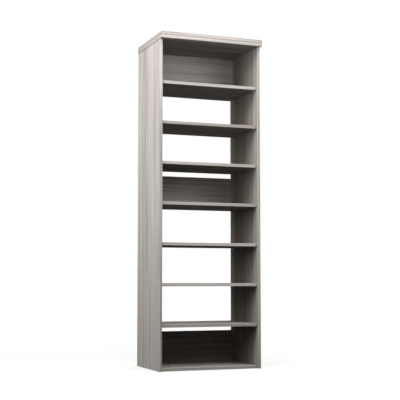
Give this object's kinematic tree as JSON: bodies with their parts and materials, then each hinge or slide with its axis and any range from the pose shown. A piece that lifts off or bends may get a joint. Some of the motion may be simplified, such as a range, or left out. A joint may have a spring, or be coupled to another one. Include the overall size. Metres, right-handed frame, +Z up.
{
  "type": "wall-mounted closet shelf unit",
  "caption": "Tall open closet shelf tower of grey wood-grain board with an overhanging thick top, loose and fixed shelves, short back panels and a concealed hanging rail.",
  "frame": {"origin": "on the floor, under the middle of the unit's bounding box", "axes": "+Z up, +X to the right seen from the front, +Y back to the wall; the front looks along -Y"},
  "size_m": [0.692, 0.492, 2.126],
  "materials": {
    "upright_board": "grey wood-grain melamine on chipboard, grain upright",
    "level_board": "grey wood-grain melamine on chipboard, grain lengthwise",
    "edge_band": "satin plastic edge band with printed grain",
    "nickel_pins": "nickel plated",
    "zinc_cams": "die-cast zinc, dull",
    "zinc_steel": "zinc plated",
    "dowel_beech": "bare beech, fluted",
    "cap_plastic": "satin grey plastic"
  },
  "bodies": {
    "carcass": {"left_side_panel": "upright_board", "right_side_panel": "upright_board", "top_upper_board": "level_board", "top_lower_board": "level_board", "bottom_panel": "level_board", "upper_back_panel": "level_board", "middle_back_panel": "level_board", "lower_back_panel": "level_board", "left_side_front_band": "edge_band", "right_side_front_band": "edge_band", "top_upper_front_band": "edge_band", "top_upper_left_band": "edge_band", "top_upper_right_band": "edge_band", "top_lower_front_band": "edge_band", "top_lower_left_band": "edge_band", "top_lower_right_band": "edge_band", "bottom_panel_front_band": "edge_band", "upper_back_lower_band": "edge_band", "middle_back_upper_band": "edge_band", "lower_back_upper_band": "edge_band", "shelf_4": "level_board", "shelf_4_front_band": "edge_band", "shelf_pins": "nickel_pins", "cam_housings": "zinc_cams", "cam_bolts": "zinc_steel", "dowels": "dowel_beech", "cam_cover_caps": "cap_plastic", "carcass_screws": "zinc_steel", "top_joining_screws": "zinc_steel", "wall_rail": "zinc_steel", "left_hanger": "zinc_steel", "right_hanger": "zinc_steel", "hanger_screws": "zinc_steel"},
    "shelf_1": {"shelf_1": "level_board", "shelf_1_front_band": "edge_band"},
    "shelf_2": {"shelf_2": "level_board", "shelf_2_front_band": "edge_band"},
    "shelf_3": {"shelf_3": "level_board", "shelf_3_front_band": "edge_band"},
    "shelf_5": {"shelf_5": "level_board", "shelf_5_front_band": "edge_band"},
    "shelf_6": {"shelf_6": "level_board", "shelf_6_front_band": "edge_band"},
    "shelf_7": {"shelf_7": "level_board", "shelf_7_front_band": "edge_band"}
  },
  "joints": [
    {"name": "shelf_1_draw_out", "type": "slide", "parent": "carcass", "child": "shelf_1", "axis": [0, -1, 0], "range_m": [0, 0.5]},
    {"name": "shelf_2_draw_out", "type": "slide", "parent": "carcass", "child": "shelf_2", "axis": [0, -1, 0], "range_m": [0, 0.5]},
    {"name": "shelf_3_draw_out", "type": "slide", "parent": "carcass", "child": "shelf_3", "axis": [0, -1, 0], "range_m": [0, 0.5]},
    {"name": "shelf_5_draw_out", "type": "slide", "parent": "carcass", "child": "shelf_5", "axis": [0, -1, 0], "range_m": [0, 0.5]},
    {"name": "shelf_6_draw_out", "type": "slide", "parent": "carcass", "child": "shelf_6", "axis": [0, -1, 0], "range_m": [0, 0.5]},
    {"name": "shelf_7_draw_out", "type": "slide", "parent": "carcass", "child": "shelf_7", "axis": [0, -1, 0], "range_m": [0, 0.5]}
  ]
}
